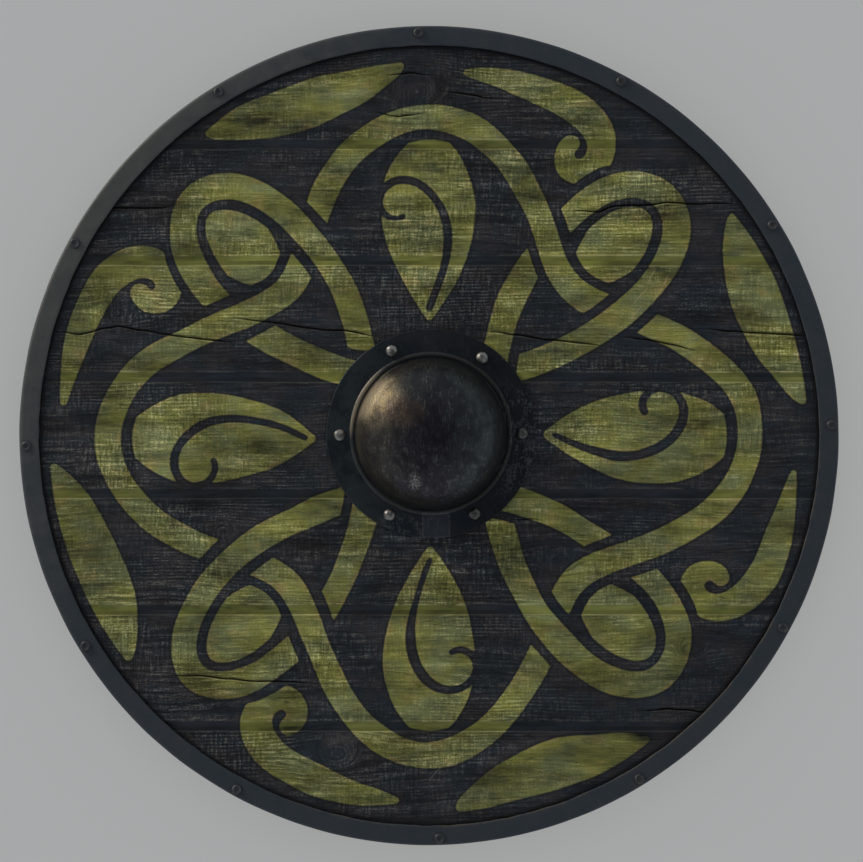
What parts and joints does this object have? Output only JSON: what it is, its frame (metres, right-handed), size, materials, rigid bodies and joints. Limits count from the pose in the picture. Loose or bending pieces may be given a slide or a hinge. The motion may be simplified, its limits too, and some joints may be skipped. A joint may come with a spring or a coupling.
{
  "type": "wooden shield",
  "caption": "Round shield of painted boards with a folded metal rim, a riveted domed boss over a hand hole, and a grip bar and battens behind.",
  "frame": {"origin": "middle of the plane that the shield lies on, under the backs of its grip and battens", "axes": "+Z out through the boss, square to the boards; +X along the boards; +Y across them, towards the top of the shield"},
  "size_m": [0.82, 0.82, 0.0805],
  "materials": {
    "painted_wood": "matte",
    "bare_wood": "matte",
    "rim_iron": "matte",
    "boss_iron": "satin",
    "rivet_iron": "satin"
  },
  "bodies": {
    "root": {"board_1": "painted_wood", "board_2": "painted_wood", "board_3": "painted_wood", "board_4_left": "painted_wood", "board_4_right": "painted_wood", "board_5": "painted_wood", "board_6": "painted_wood", "board_7": "painted_wood", "rim": "rim_iron", "rim_rivet_1": "rivet_iron", "rim_rivet_2": "rivet_iron", "rim_rivet_3": "rivet_iron", "rim_rivet_4": "rivet_iron", "rim_rivet_5": "rivet_iron", "rim_rivet_6": "rivet_iron", "rim_rivet_7": "rivet_iron", "rim_rivet_8": "rivet_iron", "rim_rivet_9": "rivet_iron", "rim_rivet_10": "rivet_iron", "rim_rivet_11": "rivet_iron", "rim_rivet_12": "rivet_iron", "boss": "boss_iron", "boss_rivet_1": "rivet_iron", "boss_rivet_2": "rivet_iron", "boss_rivet_3": "rivet_iron", "boss_rivet_4": "rivet_iron", "boss_rivet_5": "rivet_iron", "boss_rivet_6": "rivet_iron", "rove_1": "rivet_iron", "rove_2": "rivet_iron", "rove_3": "rivet_iron", "rove_4": "rivet_iron", "rove_5": "rivet_iron", "rove_6": "rivet_iron", "grip": "bare_wood", "batten_left": "bare_wood", "batten_right": "bare_wood", "grip_peg_1": "bare_wood", "grip_peg_2": "bare_wood", "grip_peg_3": "bare_wood", "grip_peg_5": "bare_wood", "grip_peg_6": "bare_wood", "grip_peg_7": "bare_wood", "batten_left_peg_2": "bare_wood", "batten_left_peg_3": "bare_wood", "batten_left_peg_4": "bare_wood", "batten_left_peg_5": "bare_wood", "batten_left_peg_6": "bare_wood", "batten_right_peg_2": "bare_wood", "batten_right_peg_3": "bare_wood", "batten_right_peg_4": "bare_wood", "batten_right_peg_5": "bare_wood", "batten_right_peg_6": "bare_wood"}
  },
  "joints": []
}
